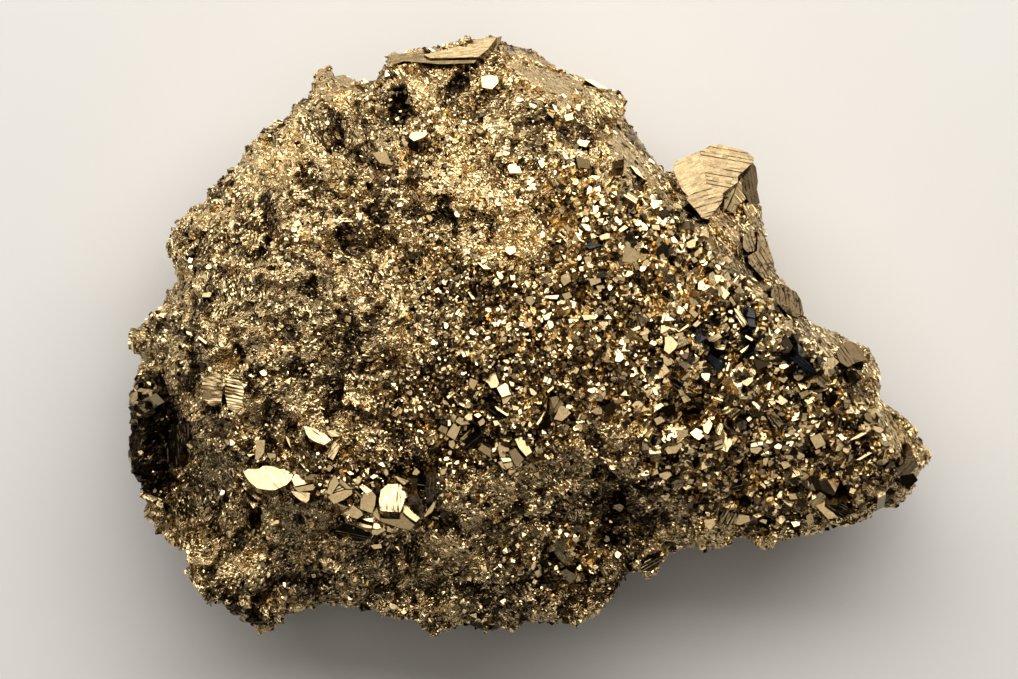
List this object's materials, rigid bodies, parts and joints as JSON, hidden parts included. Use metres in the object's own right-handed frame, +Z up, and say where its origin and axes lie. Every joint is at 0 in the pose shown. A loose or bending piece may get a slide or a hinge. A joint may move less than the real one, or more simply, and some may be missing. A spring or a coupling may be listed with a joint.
{
  "type": "pyrite and galena mineral specimen",
  "caption": "Lump of ore with one face crusted in small metallic crystals and larger striated crystals, lying on a flat broken back as a display specimen.",
  "frame": {"origin": "on the surface it rests on, under the middle of its outline seen from above", "axes": "+X along the lump towards its pointed end, +Y towards the edge that is uppermost in the usual view, +Z up out of the crystal face"},
  "size_m": [0.162, 0.1208, 0.054],
  "materials": {
    "pyrite": "brassy sulphide crystals with a brown tarnish",
    "galena": "dark lead-grey crystals"
  },
  "bodies": {
    "root": {"specimen": "pyrite"}
  },
  "joints": []
}
